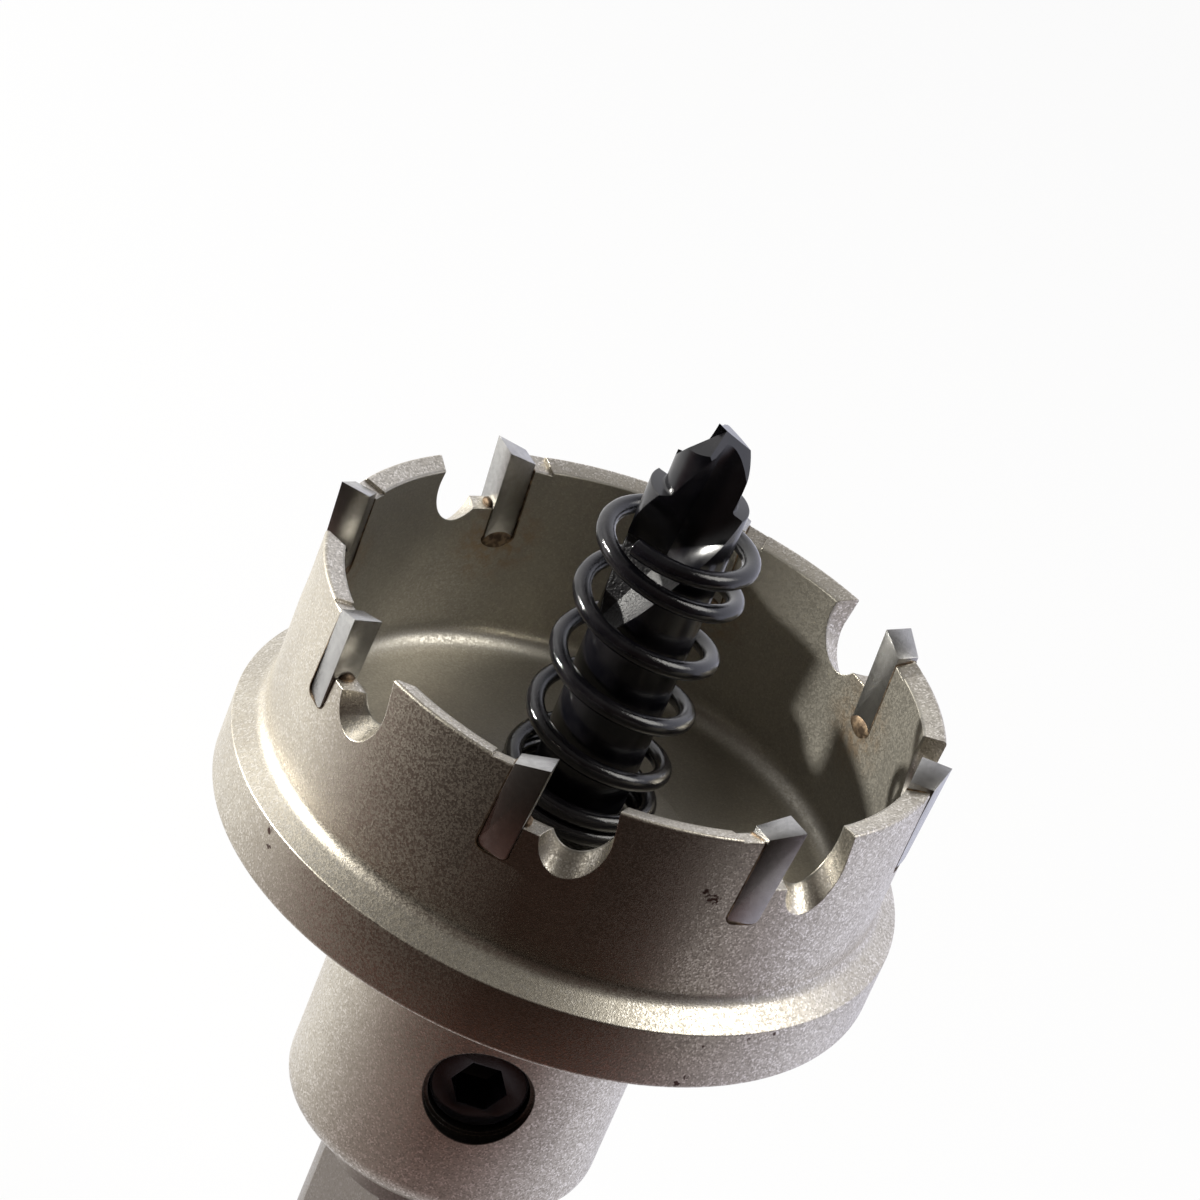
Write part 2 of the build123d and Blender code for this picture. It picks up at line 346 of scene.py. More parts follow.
def braze_bead(name, place, reach):
    """A rounded bead of braze, with its reach along X, Y and Z in millimetres."""
    deselect()
    bpy.ops.mesh.primitive_uv_sphere_add(
        segments=32, ring_count=16, radius=MM, location=Vector(place) * MM, scale=reach
    )
    piece = bpy.context.object
    piece.name = name
    bpy.ops.object.transform_apply(location=True, rotation=True, scale=True)
    smooth(piece, 60.0)
    return piece


def dress(piece, material, slot, *nodes):
    """Give a finished piece its material and its body, and hide the parts that it stands for.
    Its slot is not used.
    """
    piece.data.materials.clear()
    piece.data.materials.append(material)
    piece.data.name = piece.name
    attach(piece, "root")
    if nodes:
        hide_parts(*nodes)


# Cutter body
def body_section():
    """Half section of the cup, flange, hub, shank and bore."""
    shoulder_z = CREASE_Z + (FLANGE_RADIUS - CUP_RADIUS) * math.tan(math.radians(SHOULDER_ANGLE))
    rim_drop = WALL * math.tan(math.radians(RIM_SLOPE))
    bore_bottom = SEAT_Z - BORE_DEPTH
    corners = [
        (0, 0),
        (SHANK_RADIUS - SHANK_CHAMFER, 0),
        (SHANK_RADIUS, SHANK_CHAMFER),
        (SHANK_RADIUS, SHANK_LENGTH),
        (HUB_RADIUS, SHANK_LENGTH),
        (HUB_RADIUS, FLANGE_Z),
        (FLANGE_RADIUS, FLANGE_Z),
        (FLANGE_RADIUS, CREASE_Z),
        (CUP_RADIUS, shoulder_z),
        (CUP_RADIUS, RIM_Z),
        (BOWL_RADIUS, RIM_Z - rim_drop),
        (BOWL_RADIUS, FLOOR_Z),
        (SEAT_RADIUS, FLOOR_Z),
        (SEAT_RADIUS - SEAT_EDGE, SEAT_Z),
        (BORE_RADIUS, SEAT_Z),
        (BORE_RADIUS, bore_bottom),
        (0, bore_bottom - BORE_RADIUS * math.tan(math.radians(BORE_CONE))),
    ]
    radii = {
        2: SHANK_CHAMFER_EDGE,
        4: HUB_EDGE,
        6: FLANGE_EDGE,
        7: CREASE_EDGE,
        8: SHOULDER_FILLET,
        9: RIM_EDGE,
        10: RIM_INNER_EDGE,
        11: FLOOR_FILLET,
    }
    return rounded(corners, radii)


def lean_at(depth):
    """How far a tip's face has leaned back this far below its edge."""
    return -depth * math.tan(math.radians(TIP_LEAN))


def tip_outline(gap, top):
    """Side view of a tip as Y and Z, with its lower corners rounded."""
    edge_z = RIM_Z + TIP_RISE
    bottom = edge_z - TIP_HEIGHT - gap
    front_top = lean_at(edge_z - top) + gap
    front_bottom = lean_at(edge_z - bottom) + gap
    width = TIP_LENGTH + 2 * gap
    corners = [
        (front_top, top),
        (front_top - width, top),
        (front_bottom - width, bottom),
        (front_bottom, bottom),
    ]
    return rounded(corners, {2: TIP_CORNER + gap, 3: TIP_CORNER + gap}, steps=6)


def across_wall(name, outline, inner, outer):
    """An outline of Y and Z pushed through the wall along X."""
    return prism(name, [(inner, y, z) for y, z in outline], (outer - inner, 0, 0))


def gullet_cutter():
    """A round gullet before a tip's face, sloping down and out."""
    down = math.radians(GULLET_SLOPE)
    lean = math.radians(GULLET_LEAN)
    middle = (CUP_RADIUS + BOWL_RADIUS) / 2
    rise = 2 * GULLET_DEPTH
    outline = []
    for step in range(GULLET_ARC_STEPS + 1):
        angle = math.pi + (math.pi + lean) * step / GULLET_ARC_STEPS
        outline.append((GULLET_RADIUS * math.cos(angle), GULLET_RADIUS * math.sin(angle)))
    top = outline[-1][1] + rise * math.cos(lean)
    outline.append((outline[-1][0] - rise * math.sin(lean), top))
    outline.append((-GULLET_RADIUS, top))
    axis = Vector((math.cos(down), 0, -math.sin(down)))
    up = Vector((math.sin(down), 0, math.cos(down)))
    centre = Vector((middle, GULLET_OFFSET, RIM_Z - GULLET_DEPTH))
    start = centre - axis * 2 * WALL
    places = [start + Vector((0, u, 0)) + up * v for u, v in outline]
    return prism("gullet_cutter", places, axis * 4 * WALL)


def notch_cutter():
    """The room before a tip's face, down to its ledge."""
    face = lean_at(TIP_RISE + LEDGE_DEPTH)
    near = GULLET_OFFSET - GULLET_RADIUS + BRAZE_GAP
    outline = [
        (face, RIM_Z - LEDGE_DEPTH),
        (near + GULLET_RADIUS / 4, RIM_Z - LEDGE_DEPTH),
        (GULLET_OFFSET, RIM_Z),
        (GULLET_OFFSET, RIM_Z + TIP_HEIGHT),
        (lean_at(-TIP_HEIGHT), RIM_Z + TIP_HEIGHT),
    ]
    return across_wall("notch_cutter", outline, BOWL_RADIUS - WALL, CUP_RADIUS + WALL)


def facet_cutter():
    """The ground facet in the rim behind a tip."""
    behind = lean_at(TIP_RISE) - TIP_LENGTH
    slope = math.radians(RIM_SLOPE)
    reach = 2 * WALL
    outline = [
        (behind - FACET_LENGTH, RIM_Z - FACET_DEPTH),
        (behind, RIM_Z),
        (behind, RIM_Z + TIP_RISE),
        (behind - FACET_LENGTH, RIM_Z + TIP_RISE),
    ]
    rise = reach * math.tan(slope)
    places = [(CUP_RADIUS - reach, y, z - rise) for y, z in outline]
    return prism("facet_cutter", places, (2 * reach, 0, 2 * rise))


def flat_cutter():
    """One flat of the shank, which stops below the hub."""
    x = SHANK_RADIUS - FLAT_DEPTH
    half = SHANK_RADIUS
    outline = [(x, -half), (x, half), (x + half, half), (x + half, -half)]
    places = [(x, y, -OVERSHOOT) for x, y in outline]
    return prism("flat_cutter", places, (0, 0, SHANK_LENGTH - FLAT_NECK + OVERSHOOT))


def rod_along_x(name, radius, start, end, vertices=96):
    """A rod along X at the screw's height, from start to end in millimetres."""
    deselect()
    bpy.ops.mesh.primitive_cylinder_add(
        vertices=vertices,
        radius=radius * MM,
        depth=(end - start) * MM,
        location=((start + end) / 2 * MM, 0, SCREW_Z * MM),
        rotation=(0, math.pi / 2, 0),
    )
    piece = bpy.context.object
    piece.name = name
    bpy.ops.object.transform_apply(location=True, rotation=True, scale=True)
    return piece


def make_body():
    """The turned body with its seats, gullets, flats and screw hole."""
    body = turned("hole_saw_body", body_section())
    seats = across_wall(
        "seat_cutter",
        tip_outline(BRAZE_GAP, RIM_Z + 2 * TIP_RISE),
        BOWL_RADIUS - WALL,
        CUP_RADIUS + WALL,
    )
    for cutter in (seats, notch_cutter(), gullet_cutter(), facet_cutter()):
        cut(body, copies_round(cutter, TIP_AZIMUTHS))
    cut(body, copies_round(flat_cutter(), FLAT_AZIMUTHS))
    hole = rod_along_x("screw_hole", SCREW_HOLE, 0, 2 * HUB_RADIUS)
    mouth = rod_along_x("screw_mouth", MOUTH_RADIUS, HUB_RADIUS - MOUTH_DEPTH, 2 * HUB_RADIUS)
    for cutter in (hole, mouth):
        turn_about_z(cutter, SCREW_AZIMUTH)
        cut(body, cutter)
    smooth(body, 25.0)
    return body


# Carbide tips and their braze
def make_tip():
    """One carbide tip at azimuth 0, ground on top and on its outer side."""
    outline = tip_outline(0, RIM_Z + 2 * TIP_RISE)
    tip = across_wall("carbide_tip", outline, TIP_INNER, TIP_OUTER)
    edge = (TIP_OUTER, 0, RIM_Z + TIP_RISE)
    back = math.tan(math.radians(TIP_RELIEF))
    across = math.tan(math.radians(TIP_CROSS_SLOPE))
    side = math.tan(math.radians(TIP_SIDE_RELIEF))
    taper = math.tan(math.radians(TIP_SIDE_TAPER))
    slice_off(tip, edge, (-across, -back, 1))
    slice_off(tip, edge, (1, -side, -taper))
    soften(tip, TIP_EDGE)
    bpy.ops.object.mode_set(mode="EDIT")
    bpy.ops.mesh.select_all(action="SELECT")
    bpy.ops.uv.cube_project(cube_size=10 * MM, correct_aspect=False, scale_to_bounds=False)
    bpy.ops.object.mode_set(mode="OBJECT")
    smooth(tip, 25.0)
    return tip


def foot_of_tip():
    """Y and Z of the middle of a tip's foot, a little above its lower end."""
    return lean_at(TIP_HEIGHT) - TIP_LENGTH / 2, RIM_Z + TIP_RISE - TIP_HEIGHT + FOOT_RISE


def make_braze():
    """The seam round one tip: a thin band in the wall, behind the tip and under it, with a
    bead at the tip's foot inside the cup and one on the ledge before its face."""
    top = RIM_Z - BRAZE_TOP_DROP
    bottom = RIM_Z - 2 * TIP_HEIGHT
    inner, outer = BOWL_RADIUS - WALL, CUP_RADIUS + WALL
    band = across_wall("braze_seam", tip_outline(BRAZE_SHOW, top), inner, outer)
    ring = turned(
        "braze_ring",
        [
            (BOWL_RADIUS - BRAZE_SKIN, bottom),
            (CUP_RADIUS + BRAZE_SKIN, bottom),
            (CUP_RADIUS + BRAZE_SKIN, RIM_Z),
            (BOWL_RADIUS - BRAZE_SKIN, RIM_Z - BRAZE_INNER_DROP),
            (BOWL_RADIUS - BRAZE_SKIN, bottom),
        ],
    )
    cut(band, ring, "INTERSECT")
    room = tip_outline(0, RIM_Z + TIP_RISE)
    face_top, face_bottom = room[0], room[-1]
    ahead = [(y + TIP_LENGTH, z) for y, z in (face_bottom, face_top)]
    room_ends = (inner - OVERSHOOT, outer + OVERSHOOT)
    cut(band, across_wall("tip_room", room + ahead, *room_ends))
    smooth(band, 25.0)
    ledge_z = RIM_Z - LEDGE_DEPTH
    ledge_y = lean_at(TIP_RISE + LEDGE_DEPTH)
    middle = (BOWL_RADIUS + CUP_RADIUS) / 2
    on_ledge = Vector((middle, ledge_y, ledge_z)) + Vector(LEDGE_BEAD_SHIFT)
    at_foot = (BOWL_RADIUS, *foot_of_tip())
    beads = [
        braze_bead("foot_bead", at_foot, FOOT_BEAD),
        braze_bead("ledge_bead", on_ledge, LEDGE_BEAD),
    ]
    pick(band)
    for bead in beads:
        bead.select_set(True)
    bpy.ops.object.join()
    return band


# Pilot drill
def flute_outline():
    """Cross-section of a flute, with its rake face along X, as points in the XY plane."""
    half_web = DRILL_WEB / 2
    heel = math.radians(FLUTE_HEEL)
    reach = 2 * DRILL_RADIUS
    start = Vector((half_web, half_web))
    hollow = Vector([share * DRILL_RADIUS for share in FLUTE_HOLLOW])
    end = Vector((reach * math.cos(heel), reach * math.sin(heel)))
    line = [(reach, half_web)]
    line += arc_through(start, hollow, end, FLUTE_ARC_STEPS)
    line += [(reach, reach)]
    return line


def arc_through(a, b, c, steps):
    """Points on the arc through three places in the XY plane."""
    ab, ac = b - a, c - a
    area = 2 * (ab.x * ac.y - ab.y * ac.x)
    centre = a + Vector(
        (
            (ac.y * ab.length_squared - ab.y * ac.length_squared) / area,
            (ab.x * ac.length_squared - ac.x * ab.length_squared) / area,
        )
    )
    radius = (a - centre).length
    angles = [math.atan2((p - centre).y, (p - centre).x) for p in (a, b, c)]
    sweep = (angles[2] - angles[0]) % (2 * math.pi)
    through = (angles[1] - angles[0]) % (2 * math.pi)
    if through > sweep:
        sweep -= 2 * math.pi
    return [
        (
            centre.x + radius * math.cos(angles[0] + sweep * i / steps),
            centre.y + radius * math.sin(angles[0] + sweep * i / steps),
        )
        for i in range(steps + 1)
    ]


def flute_cutter(half_turn):
    """One flute: its section slants in at the run-out, then winds up past the point."""
    azimuth = DRILL_LIP_AZIMUTH + half_turn - FLUTE_TURN
    start = Matrix.Rotation(math.radians(azimuth), 3, "Z")
    slant = math.radians(FLUTE_RUNOUT)
    middle = math.radians(azimuth + 45)
    out = math.sin(slant)
    inwards = Vector((-math.cos(middle) * out, -math.sin(middle) * out, math.cos(slant)))
    inwards *= 2 * DRILL_RADIUS
    base = Vector((0, 0, DRILL_TIP_Z - FLUTE_LENGTH))
    outline = [start @ Vector((x, y, 0)) + base - inwards for x, y in flute_outline()]
    cutter = draw_line("flute_cutter", outline, closed=True)
    bpy.ops.mesh.extrude_region_move(TRANSFORM_OT_translate={"value": inwards * MM})
    rise = (FLUTE_LENGTH + FLUTE_PAST_POINT) / FLUTE_STEPS
    turn = math.radians(360 * rise / FLUTE_LEAD)
    for _ in range(FLUTE_STEPS):
        bpy.ops.mesh.extrude_region_move(TRANSFORM_OT_translate={"value": (0, 0, rise * MM)})
        bpy.ops.transform.rotate(value=-turn, orient_axis="Z", center_override=(0, 0, 0))
    finish_shell()
    return cutter


def ground_cutter(name, slopes, start):
    """A block on a face that slopes along X and Y through the tip. It begins at an upright
    wall, this far beside the axis."""
    wall = math.radians(DRILL_WALL_TURN)
    along = Vector((math.cos(wall), math.sin(wall), 0))
    across = Vector((-math.sin(wall), math.cos(wall), 0))
    along.z = along.xy.dot(slopes)
    across.z = across.xy.dot(slopes)
    size = 4 * DRILL_RADIUS
    place = Vector((0, 0, DRILL_TIP_Z)) + across * start
    above = Vector((0, 0, size))
    outline = [
        place - along * size,
        place + along * size,
        place + along * size + above,
        place - along * size + above,
    ]
    return prism(name, outline, across * 2 * size)


def make_drill():
    """The stepped pilot drill with its split point and two flutes."""
    step_z = DRILL_TIP_Z - DRILL_STEP_LENGTH
    bottom_z = SEAT_Z - BORE_DEPTH
    top_z = DRILL_TIP_Z + DRILL_WEB
    corners = [
        (0, bottom_z),
        (DRILL_RADIUS - DRILL_END_CHAMFER, bottom_z),
        (DRILL_RADIUS, bottom_z + DRILL_END_CHAMFER),
        (DRILL_RADIUS, step_z),
        (DRILL_STEP_RADIUS, step_z),
        (DRILL_STEP_RADIUS, top_z),
        (0, top_z),
    ]
    radii = {3: DRILL_STEP_EDGE, 4: DRILL_STEP_FILLET}
    drill = turned("pilot_drill_ground", rounded(corners, radii, steps=4), DRILL_STEPS)
    lip_slope = 1 / math.tan(math.radians(DRILL_POINT_ANGLE / 2))
    relief = math.tan(math.radians(DRILL_RELIEF))
    steep = math.tan(math.radians(DRILL_GASH_ANGLE))
    skew = steep * math.tan(math.radians(DRILL_GASH_TURN))
    # Behind the first lip the grinding stops at a wall, behind the second it runs through
    for half_turn, start in ((0, 0.0), (180, -3 * DRILL_RADIUS)):
        flank = ground_cutter("flank", Vector((-lip_slope, relief)), start)
        gash = ground_cutter("gash", Vector((skew, steep)), start)
        for cutter in (flank, gash):
            turn_about_z(cutter, DRILL_LIP_AZIMUTH + half_turn)
            cut(drill, cutter)
        cut(drill, flute_cutter(half_turn))
    smooth(drill, 22.0)
    return drill


# Ejector spring
def coil_drop(turn):
    """How far the wire has come down after so many turns from its top end."""
    top_turns, active_turns, bottom_turns = SPRING_TURNS
    height = SPRING_TOP_Z - SPRING_BOTTOM_Z
    pitch = (height - (top_turns + bottom_turns) * SPRING_CLOSED_PITCH) / active_turns
    top = min(turn, top_turns)
    active = min(max(turn - top_turns, 0), active_turns)
    bottom = max(turn - top_turns - active_turns, 0)
    return (top + bottom) * SPRING_CLOSED_PITCH + active * pitch


def make_spring():
    """The left-hand coil, with closed turns at both ends."""
    turns = sum(SPRING_TURNS)
    steps = round(turns * COIL_STEPS)
    places = []
    for step in range(steps + 1):
        turn = turns * step / steps
        reach = min(SPRING_BLEND, turn, turns - turn)
        drop = (coil_drop(turn - reach) + coil_drop(turn) + coil_drop(turn + reach)) / 3
        angle = math.radians(SPRING_END_AZIMUTH) + 2 * math.pi * turn
        places.append(
            (COIL_RADIUS * math.cos(angle), COIL_RADIUS * math.sin(angle), SPRING_TOP_Z - drop)
        )
    spring = wire("ejector_coil", places, WIRE_RADIUS)
    soften(spring, WIRE_END_EDGE, 60.0)
    smooth(spring, 40.0)
    return spring


# Grub screw
def make_screw():
    """The grub screw with its hexagon socket."""
    screw = rod_along_x("grub_screw", SCREW_RADIUS, SCREW_INNER, SCREW_INNER + SCREW_LENGTH, 128)
    soften(screw, SCREW_CHAMFER, 60.0, 4)
    deselect()
    socket_end = SCREW_INNER + SCREW_LENGTH
    hexagon = rod_along_x(
        "hex_socket",
        SCREW_HEX / 2 / math.cos(math.radians(30)),
        socket_end - SCREW_HEX_DEPTH,
        socket_end + OVERSHOOT,
        6,
    )
    cut(screw, hexagon)
    soften(screw, SCREW_HEX_EDGE, 50.0)
    turn_about_z(screw, SCREW_AZIMUTH)
    smooth(screw, 30.0)
    return screw


# Materials
class Finish:
    """A material or world with its shader, and short ways to add and join nodes."""

    def __init__(self, name, owner=None):
        self.material = owner or bpy.data.materials.new(name)
        self.material.use_nodes = True
        self.nodes = self.material.node_tree.nodes
        self.links = self.material.node_tree.links
        self.shader = self.nodes.get("Principled BSDF")

    def add(self, kind, **settings):
        node = self.nodes.new(kind)
        for key, value in settings.items():
            setattr(node, key, value)
        return node

    def join(self, source, target):
        self.links.new(source, target)

    def set(self, **values):
        for key, value in values.items():
            self.shader.inputs[key.replace("_", " ")].default_value = value

    def place(self, source="Object", turn=(0, 0, 0), scale=(1, 1, 1)):
        """Coordinates in metres, turned and stretched."""
        coordinates = self.add("ShaderNodeTexCoord")
        mapping = self.add("ShaderNodeMapping")
        mapping.inputs["Rotation"].default_value = [math.radians(t) for t in turn]
        mapping.inputs["Scale"].default_value = scale
        self.join(coordinates.outputs[source], mapping.inputs["Vector"])
        return mapping.outputs["Vector"]

    def noise(self, vector, size, detail=3.0, roughness=0.5):
        """Noise whose features are about this many millimetres across."""
        node = self.add("ShaderNodeTexNoise")
        node.inputs["Scale"].default_value = 1 / (size * MM)
        node.inputs["Detail"].default_value = detail
        node.inputs["Roughness"].default_value = roughness
        self.join(vector, node.inputs["Vector"])
        return node.outputs["Fac"]

    def cells(self, vector, size):
        """Small cells of about this many millimetres: the distance from their middles, and a
        random value for each."""
        node = self.add("ShaderNodeTexVoronoi")
        node.inputs["Scale"].default_value = 1 / (size * MM)
        self.join(vector, node.inputs["Vector"])
        return node.outputs["Distance"], node.outputs["Color"]

    def away_from(self, vector, place):
        """Distance in metres from a place in millimetres."""
        node = self.add("ShaderNodeVectorMath", operation="DISTANCE")
        node.inputs[1].default_value = Vector(place) * MM
        self.join(vector, node.inputs[0])
        return node.outputs["Value"]

    def round_axis(self, vector):
        """Distance from the tool's axis, and height above the end of the shank, in metres."""
        flat = self.add("ShaderNodeVectorMath", operation="MULTIPLY")
        flat.inputs[1].default_value = (1, 1, 0)
        self.join(vector, flat.inputs[0])
        length = self.add("ShaderNodeVectorMath", operation="LENGTH")
        self.join(flat.outputs["Vector"], length.inputs[0])
        parts = self.add("ShaderNodeSeparateXYZ")
        self.join(vector, parts.inputs["Vector"])
        return length.outputs["Value"], parts.outputs["Z"]

    def span(self, value, low, high, start=0.0, end=1.0):
        """Map a value smoothly from low..high to start..end, held at the ends."""
        node = self.add("ShaderNodeMapRange")
        node.interpolation_type = "SMOOTHSTEP"
        node.inputs["From Min"].default_value = low
        node.inputs["From Max"].default_value = high
        node.inputs["To Min"].default_value = start
        node.inputs["To Max"].default_value = end
        self.join(value, node.inputs["Value"])
        return node.outputs["Result"]

    def math(self, operation, *values):
        """The result of a math operation on numbers and sockets."""
        node = self.add("ShaderNodeMath", operation=operation)
        for socket, value in zip(node.inputs, values):
            if isinstance(value, (int, float)):
                socket.default_value = value
            else:
                self.join(value, socket)
        return node.outputs["Value"]

    def blend(self, share, first, second):
        """The first colour where the share is 0, the second where it is 1."""
        node = self.add("ShaderNodeMix", data_type="RGBA", blend_type="MIX")
        colours = [socket for socket in node.inputs if socket.type == "RGBA"]
        for socket, value in zip([node.inputs["Factor"], *colours], (share, first, second)):
            if isinstance(value, (int, float)):
                socket.default_value = value
            elif isinstance(value, tuple):
                socket.default_value = (*value, 1.0)
            else:
                self.join(value, socket)
        return next(socket for socket in node.outputs if socket.type == "RGBA")

    def bump(self, height, depth, normal=None):
        """Relief of this depth in millimetres."""
        node = self.add("ShaderNodeBump")
        node.inputs["Strength"].default_value = 1.0
        node.inputs["Distance"].default_value = depth * MM
        self.join(height, node.inputs["Height"])
        if normal:
            self.join(normal, node.inputs["Normal"])
        return node.outputs["Normal"]

    def soft_edges(self, radius):
        """Normals rounded off at the edges by this many millimetres."""
        node = self.add("ShaderNodeBevel", samples=4)
        node.inputs["Radius"].default_value = radius * MM
        return node.outputs["Normal"]


def inside_cup(finish, place):
    """1 on the inner wall and floor of the cup, 0 elsewhere."""
    radius, height = finish.round_axis(place)
    wall = finish.span(radius, (BOWL_RADIUS + 0.3) * MM, (BOWL_RADIUS + 0.1) * MM)
    above = finish.span(height, (FLOOR_Z - 2) * MM, (FLOOR_Z - 1) * MM)
    return finish.math("MULTIPLY", wall, above)


def on_shank(finish, place):
    """1 on the shank, 0 elsewhere."""
    height = finish.round_axis(place)[1]
    return finish.span(height, (SHANK_LENGTH + 0.1) * MM, SHANK_LENGTH * MM)


def screw_hole(finish):
    """1 in the grub screw's hole and its mouth, where shade is painted; 0 elsewhere."""
    place = finish.place(turn=(0, 0, -SCREW_AZIMUTH))
    parts = finish.add("ShaderNodeSeparateXYZ")
    finish.join(place, parts.inputs["Vector"])
    height = finish.math("SUBTRACT", parts.outputs["Z"], SCREW_Z * MM)
    away = finish.math("POWER", finish.math("ABSOLUTE", height), 2.0)
    away = finish.math("ADD", away, finish.math("POWER", parts.outputs["Y"], 2.0))
    away = finish.math("SQRT", away)
    ring = finish.span(away, (MOUTH_RADIUS + 0.10) * MM, (MOUTH_RADIUS + 0.02) * MM)
    side = finish.span(parts.outputs["X"], 0.0, 1.0 * MM)
    return finish.math("MULTIPLY", ring, side)


def rust_specks(finish, place):
    """1 in the few small rust marks on the flange and in the stain beside a tip."""
    ragged = finish.noise(place, 0.35, 3.0, 0.6)
    specks = 0.0
    for speck, radius in RUST_SPECKS:
        near = finish.span(finish.away_from(place, speck), radius * MM, 0.0)
        specks = finish.math("MAXIMUM", near, specks)
    return finish.span(finish.math("MULTIPLY", specks, ragged), 0.34, 0.46)


def heat_stains(finish, place):
    """Brown stains that the brazing left on the wall, round the foot of each tip."""
    ragged = finish.noise(place, 1.1, 3.0, 0.6)
    stains = 0.0
    for azimuth in TIP_AZIMUTHS:
        turn = Matrix.Rotation(math.radians(azimuth), 3, "Z")
        foot = turn @ Vector((BOWL_RADIUS, *foot_of_tip()))
        near = finish.span(finish.away_from(place, foot), 5.5 * MM, 1.0 * MM)
        stains = finish.math("MAXIMUM", near, stains)
    return finish.math("MULTIPLY", stains, finish.span(ragged, 0.38, 0.66, 0.15, 0.7))


# Sizes of the grain, the pits and the softened edges in millimetres
GRAIN_SIZE = 0.14
GRAIN_DEPTH = 0.007
EDGE_SOFTNESS = 0.12
RUNOUT_PIT_DEPTH = 0.10

# Colours of the surfaces
NICKEL_DULL = (0.56, 0.52, 0.445)
NICKEL_FRESH = (0.64, 0.60, 0.515)
PIT = (0.24, 0.21, 0.17)
# Painted glints: the brightest grain cells are blended towards this near-white colour
GLINT_PAINTED = (1.0, 0.95, 0.86)
# Painted shade: the inside of the cup is blended towards this dark colour
BOWL_PAINTED_SHADE = (0.24, 0.23, 0.20)
STAIN = (0.36, 0.25, 0.15)
# The shank is painted darker than the rest of the body
SHANK_DARKER = (0.22, 0.20, 0.185)
# Painted shade: the screw hole and its mouth are darkened towards this colour
SCREW_HOLE_PAINTED_SHADE = (0.02, 0.02, 0.018)
RUST = (0.10, 0.06, 0.05)
CARBIDE_DARK = (0.44, 0.435, 0.425)
CARBIDE_PALE = (0.52, 0.515, 0.50)
BURNT_FLUX = (0.10, 0.072, 0.05)
BRAZE_GOLD = (0.32, 0.235, 0.155)
OXIDE_DARK = (0.004, 0.004, 0.006)
OXIDE_GREASY = (0.013, 0.012, 0.014)


def blasted_nickel():
    """Bead-blasted nickel plate: warm satin with a fine sparkle and a few rust marks. Its grain
    has painted glints, and inside the cup it is painted darker as shade.
    """
    finish = Finish("blasted_nickel")
    place = finish.place()
    clouds = finish.noise(place, 7.0, 3.0)
    dimples, grains = finish.cells(place, GRAIN_SIZE)
    inside = inside_cup(finish, place)
    sparkle = finish.math("SUBTRACT", 1.0, finish.math("MULTIPLY", inside, 0.55))
    colour = finish.blend(finish.span(clouds, 0.3, 0.7), NICKEL_DULL, NICKEL_FRESH)
    dark = finish.math("MULTIPLY", finish.span(grains, 0.42, 0.16, 0.0, 0.4), sparkle)
    # Painted glints: the brightest cells of the grain are lightened towards near white, and the
    # darkest are darkened as pits
    painted_glints = finish.math("MULTIPLY", finish.span(grains, 0.62, 0.86, 0.0, 0.7), sparkle)
    colour = finish.blend(dark, colour, PIT)
    colour = finish.blend(painted_glints, colour, GLINT_PAINTED)
    # Painted shade: the inner wall and floor of the cup are darkened
    colour = finish.blend(finish.math("MULTIPLY", inside, 0.6), colour, BOWL_PAINTED_SHADE)
    stains = finish.math("MULTIPLY", heat_stains(finish, place), inside)
    colour = finish.blend(stains, colour, STAIN)
    # The shank is painted darker
    shank = finish.math("MULTIPLY", on_shank(finish, place), 0.7)
    colour = finish.blend(shank, colour, SHANK_DARKER)
    # Painted shade: the screw hole and its mouth are darkened
    hole_shade = finish.math("MULTIPLY", screw_hole(finish), 0.8)
    colour = finish.blend(hole_shade, colour, SCREW_HOLE_PAINTED_SHADE)
    colour = finish.blend(rust_specks(finish, place), colour, RUST)
    finish.join(colour, finish.shader.inputs["Base Color"])
    finish.join(finish.span(grains, 0.2, 0.8, 0.47, 0.30), finish.shader.inputs["Roughness"])
    dimples = finish.math("MULTIPLY", dimples, sparkle)
    normal = finish.bump(dimples, GRAIN_DEPTH, finish.soft_edges(EDGE_SOFTNESS))
    finish.join(normal, finish.shader.inputs["Normal"])
    finish.join(finish.span(inside, 0.0, 1.0, 1.0, 0.8), finish.shader.inputs["Metallic"])
    return finish.material


def ground_carbide():
    """Grey carbide with the fine lines of the grinding wheel."""
    finish = Finish("ground_carbide")
    place = finish.place("UV", (0, 0, 12), (1.0, 0.03, 1.0))
    lines = finish.noise(place, 0.03, 3.0, 0.7)
    mottle = finish.noise(finish.place(), 0.5, 3.0)
    colour = finish.blend(finish.span(mottle, 0.3, 0.7), CARBIDE_DARK, CARBIDE_PALE)
    finish.join(colour, finish.shader.inputs["Base Color"])
    rough = finish.span(lines, 0.3, 0.7, 0.20, 0.33)
    finish.join(rough, finish.shader.inputs["Roughness"])
    normal = finish.bump(lines, 0.006)
    finish.join(normal, finish.shader.inputs["Normal"])
    finish.set(Metallic=1.0)
    return finish.material


def braze_brass():
    """Dull gold braze, lumpy and mostly dark with burnt flux."""
    finish = Finish("braze_brass")
    place = finish.place()
    lumps = finish.noise(place, 0.6, 3.0)
    colour = finish.blend(finish.span(lumps, 0.40, 0.72), BURNT_FLUX, BRAZE_GOLD)
    finish.join(colour, finish.shader.inputs["Base Color"])
    normal = finish.bump(lumps, 0.06)
    finish.join(normal, finish.shader.inputs["Normal"])
    finish.set(Metallic=1.0, Roughness=0.55)
    return finish.material


